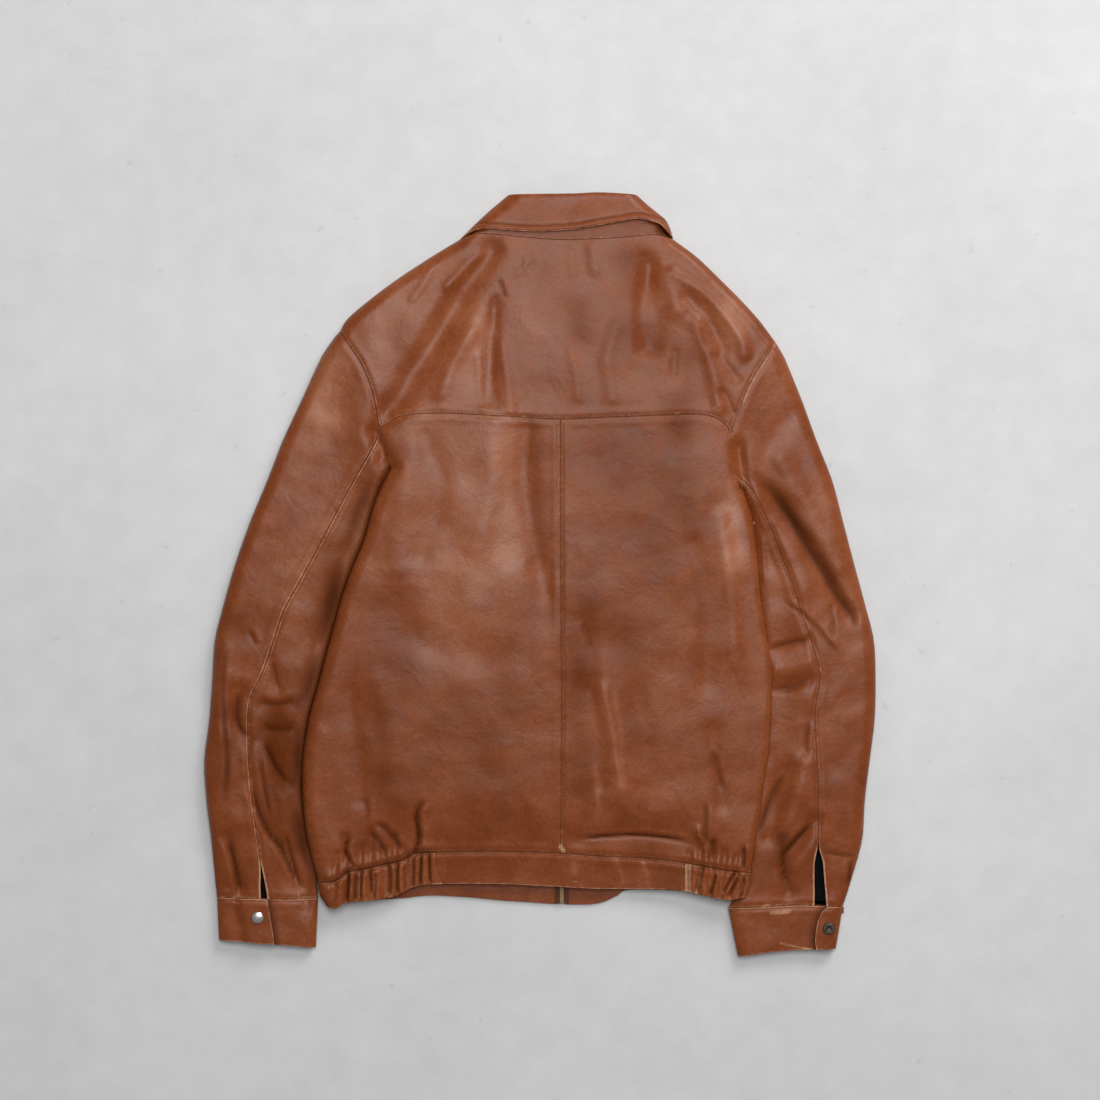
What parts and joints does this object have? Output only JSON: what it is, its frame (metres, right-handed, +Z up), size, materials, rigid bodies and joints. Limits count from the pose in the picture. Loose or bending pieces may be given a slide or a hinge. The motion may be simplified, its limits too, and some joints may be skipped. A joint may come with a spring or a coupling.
{
  "type": "worn leather jacket",
  "caption": "Zip blouson in worn leather, lying face down: yoke, split back, two-piece sleeves, snap cuffs and a hem band gathered by elastic at the sides.",
  "frame": {"origin": "centre of the jacket's outline, on the surface it lies on", "axes": "+X to the viewer's right across the back, +Y from the hem to the collar, +Z up from the surface"},
  "size_m": [0.6919, 0.786, 0.0252],
  "materials": {
    "leather": "reddish tan grain leather, semi-gloss, rubbed",
    "worn_leather": "the same leather, rubbed pale on its gathers",
    "lining": "black woven lining",
    "zip_tape": "dark brown woven tape",
    "zip_metal": "dulled brass",
    "snap_steel": "bright nickel plate",
    "snap_dark": "dark, worn socket"
  },
  "bodies": {
    "root": {"back_yoke": "leather", "back_left": "leather", "back_right": "leather", "front_left": "leather", "front_right": "leather", "sleeve_left_upper": "leather", "sleeve_left_under": "leather", "sleeve_right_upper": "leather", "sleeve_right_under": "leather", "cuff_left": "leather", "cuff_right": "leather", "hem_back": "leather", "hem_front_left": "leather", "hem_front_right": "leather", "collar_leaf": "leather", "collar_stand": "leather", "hem_side_left": "worn_leather", "hem_side_right": "worn_leather", "vent_lining_left": "lining", "vent_lining_right": "lining", "zip_tape": "zip_tape", "zip_chain": "zip_metal", "zip_slider": "zip_metal", "snap_left": "snap_steel", "snap_right": "snap_dark"}
  },
  "joints": []
}
